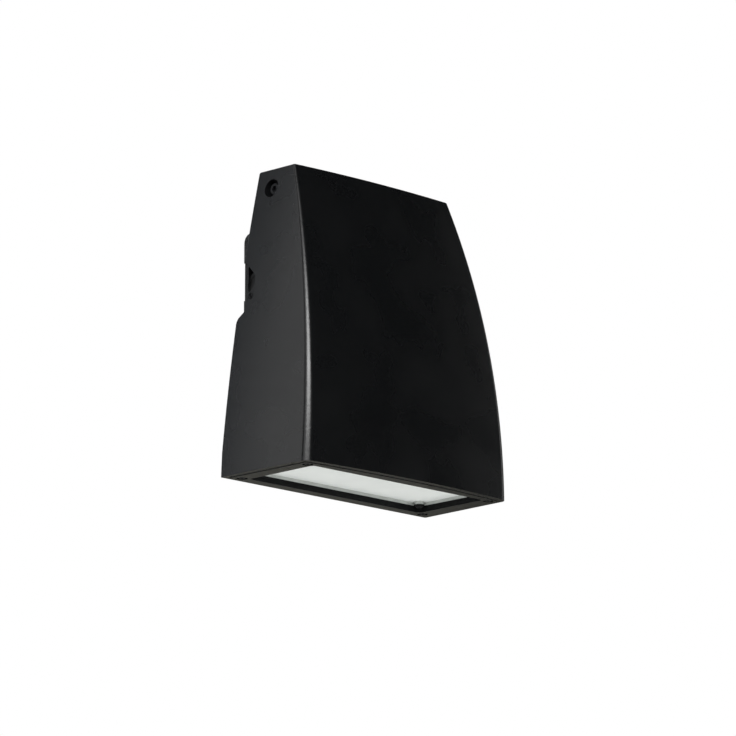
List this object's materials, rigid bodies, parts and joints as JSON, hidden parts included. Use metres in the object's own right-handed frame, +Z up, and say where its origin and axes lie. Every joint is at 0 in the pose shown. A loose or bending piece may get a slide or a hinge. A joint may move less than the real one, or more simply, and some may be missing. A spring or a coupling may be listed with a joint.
{
  "type": "wall pack light",
  "caption": "Wedge-shaped outdoor wall light: a cast head with a frosted downward lens, tilting on a flat box that screws to the wall.",
  "frame": {"origin": "centre of the wall box's four screw holes, on the wall's surface (the back of the wall gasket)", "axes": "+X to the right seen from the room, +Y into the wall, +Z up; metres"},
  "size_m": [0.2398, 0.1067, 0.2633],
  "materials": {
    "black_powder_coat": "satin black powder coat over cast aluminium",
    "door_coat": "satin black powder coat over cast aluminium",
    "box_coat": "satin black powder coat over cast aluminium",
    "foam": "closed-cell black foam",
    "silicone": "soft black silicone",
    "pale_silicone": "soft pale grey silicone",
    "black_screw": "black oxide steel",
    "bright_screw": "zinc-plated steel",
    "green_screw": "green dyed steel",
    "bronze": "plain sintered bronze",
    "friction_fibre": "pressed friction fibre",
    "black_plastic": "moulded black nylon",
    "cable_jacket": "smooth black jacket",
    "wire_insulation": "wire insulation, one colour each",
    "connector_plastic": "orange moulded plastic",
    "frosted_lens": "frosted polycarbonate with a fine matte surface",
    "white_reflector": "white painted sheet",
    "board_white": "white solder mask on aluminium",
    "chip_yellow": "yellow phosphor",
    "terminal_white": "white moulded plastic",
    "pad_grey": "soft grey thermal sheet",
    "bare_aluminium": "bare rolled sheet",
    "bracket_steel": "zinc-plated sheet steel",
    "driver_case": "drawn case, potted",
    "surge_case": "red moulded plastic"
  },
  "bodies": {
    "wall_mount": {"wall_gasket": "foam", "wall_box": "box_coat", "box_ground_screw": "green_screw", "conduit_plugs": "black_powder_coat", "hinge_bushes": "bronze", "friction_discs": "friction_fibre", "box_cable": "cable_jacket", "cable_grommet": "silicone", "splice_wires": "wire_insulation", "wire_connectors": "connector_plastic"},
    "head": {"housing": "black_powder_coat", "hinge_screws": "black_screw", "hinge_washers": "bright_screw", "hinge_nuts": "bright_screw", "lock_screws": "black_screw", "door_frame": "door_coat", "door_gasket": "silicone", "door_screws": "black_screw", "lens": "frosted_lens", "lens_gasket": "pale_silicone", "lens_screws": "black_screw", "reflector": "white_reflector", "light_board": "board_white", "light_chips": "chip_yellow", "board_terminal": "terminal_white", "board_screws": "bright_screw", "thermal_pad": "pad_grey", "heat_plate": "bare_aluminium", "plate_screws": "bright_screw", "driver_bracket": "bracket_steel", "bracket_screws": "bright_screw", "head_ground_screw": "green_screw", "driver": "driver_case", "driver_screws": "bright_screw", "surge_protector": "surge_case", "breather_vent": "black_plastic", "cable_gland": "black_plastic", "gland_lock_nut": "black_plastic", "head_cable": "cable_jacket", "supply_wires": "wire_insulation", "light_board_leads": "wire_insulation", "lead_grommet": "silicone"}
  },
  "joints": [
    {"name": "head_tilt", "type": "hinge", "parent": "wall_mount", "child": "head", "pos_m": [0, -0.033, 0.085], "axis": [-1, 0, 0], "range_deg": [0, 90]}
  ]
}
